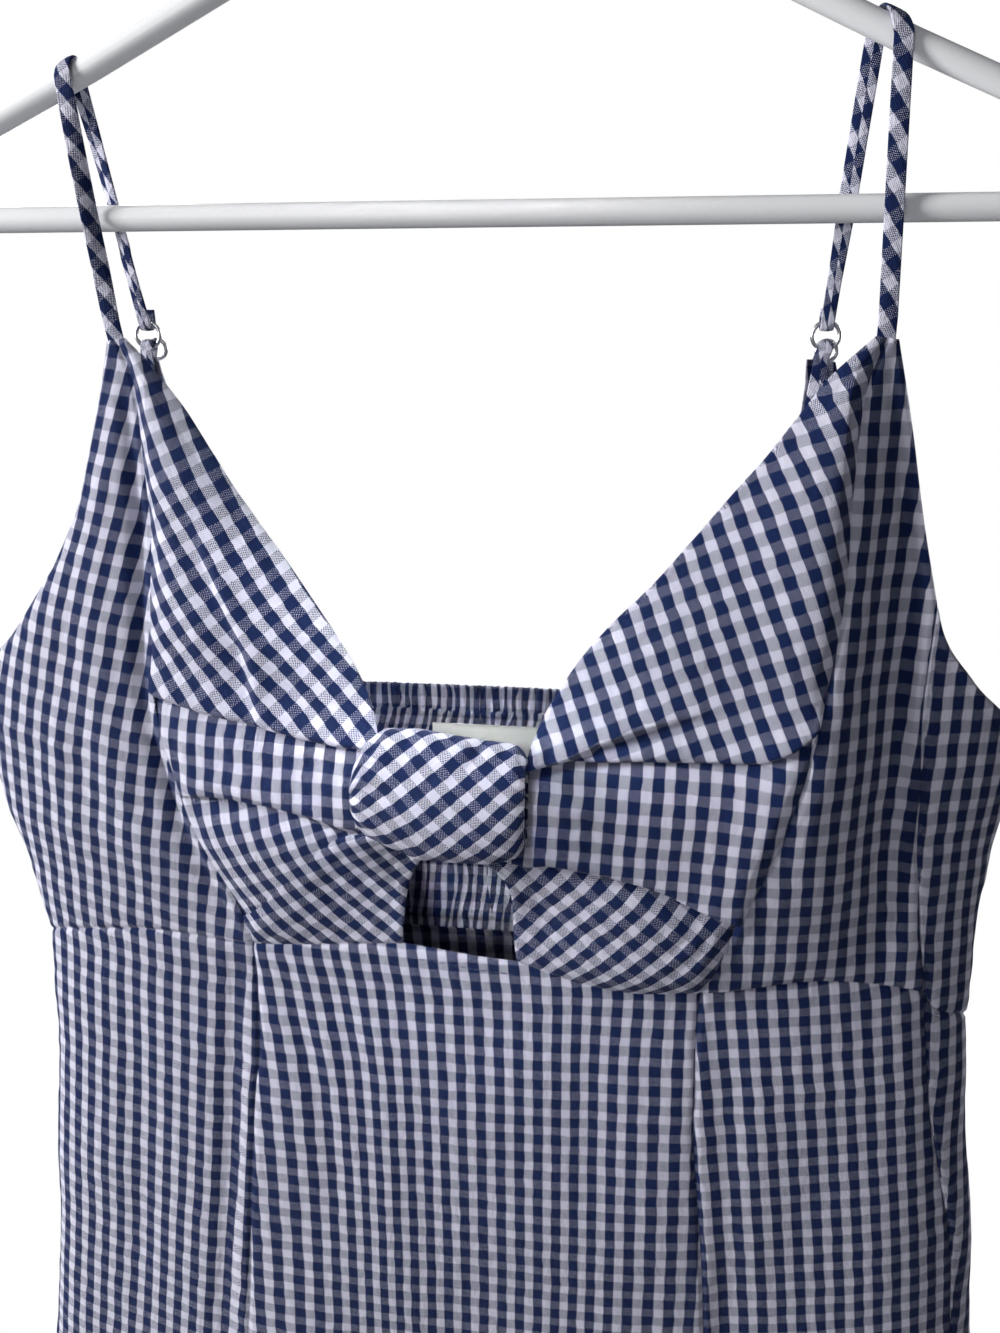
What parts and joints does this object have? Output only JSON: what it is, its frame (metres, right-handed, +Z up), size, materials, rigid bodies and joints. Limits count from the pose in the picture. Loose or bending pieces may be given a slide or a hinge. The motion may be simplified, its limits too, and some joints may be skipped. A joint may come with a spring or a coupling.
{
  "type": "midi dress on a clothes hanger",
  "caption": "Checked midi dress with thin straps, a knotted bust over a keyhole and a smocked back, on a tubular hanger.",
  "frame": {"origin": "inner top of the hanger's hook, where a rail would carry it", "axes": "+X to the viewer's right along the hanger's bar, -Y out of the front of the dress, +Z up"},
  "size_m": [0.606, 0.115, 1.2969],
  "materials": {
    "gingham_cloth": "matt woven cotton, small navy and white check",
    "hanger_plastic": "white moulded plastic",
    "strap_metal": "polished wire",
    "label_tape": "plain woven tape"
  },
  "bodies": {
    "root": {"hanger_frame": "hanger_plastic", "hanger_hook": "hanger_plastic", "front_centre_skirt": "gingham_cloth", "front_side_skirt_L": "gingham_cloth", "front_side_skirt_R": "gingham_cloth", "front_side_upper_L": "gingham_cloth", "front_side_upper_R": "gingham_cloth", "cup_upper_L": "gingham_cloth", "cup_upper_R": "gingham_cloth", "cup_middle_L": "gingham_cloth", "cup_middle_R": "gingham_cloth", "cup_lower_L": "gingham_cloth", "cup_lower_R": "gingham_cloth", "knot": "gingham_cloth", "back_side_L": "gingham_cloth", "back_side_R": "gingham_cloth", "back_casing": "gingham_cloth", "back_smocked_panel": "gingham_cloth", "back_skirt": "gingham_cloth", "back_tab_L": "gingham_cloth", "back_tab_R": "gingham_cloth", "strap_L": "gingham_cloth", "strap_R": "gingham_cloth", "strap_ring_L": "strap_metal", "strap_ring_R": "strap_metal", "strap_slider_L": "strap_metal", "strap_slider_R": "strap_metal", "label_blank": "label_tape"}
  },
  "joints": []
}
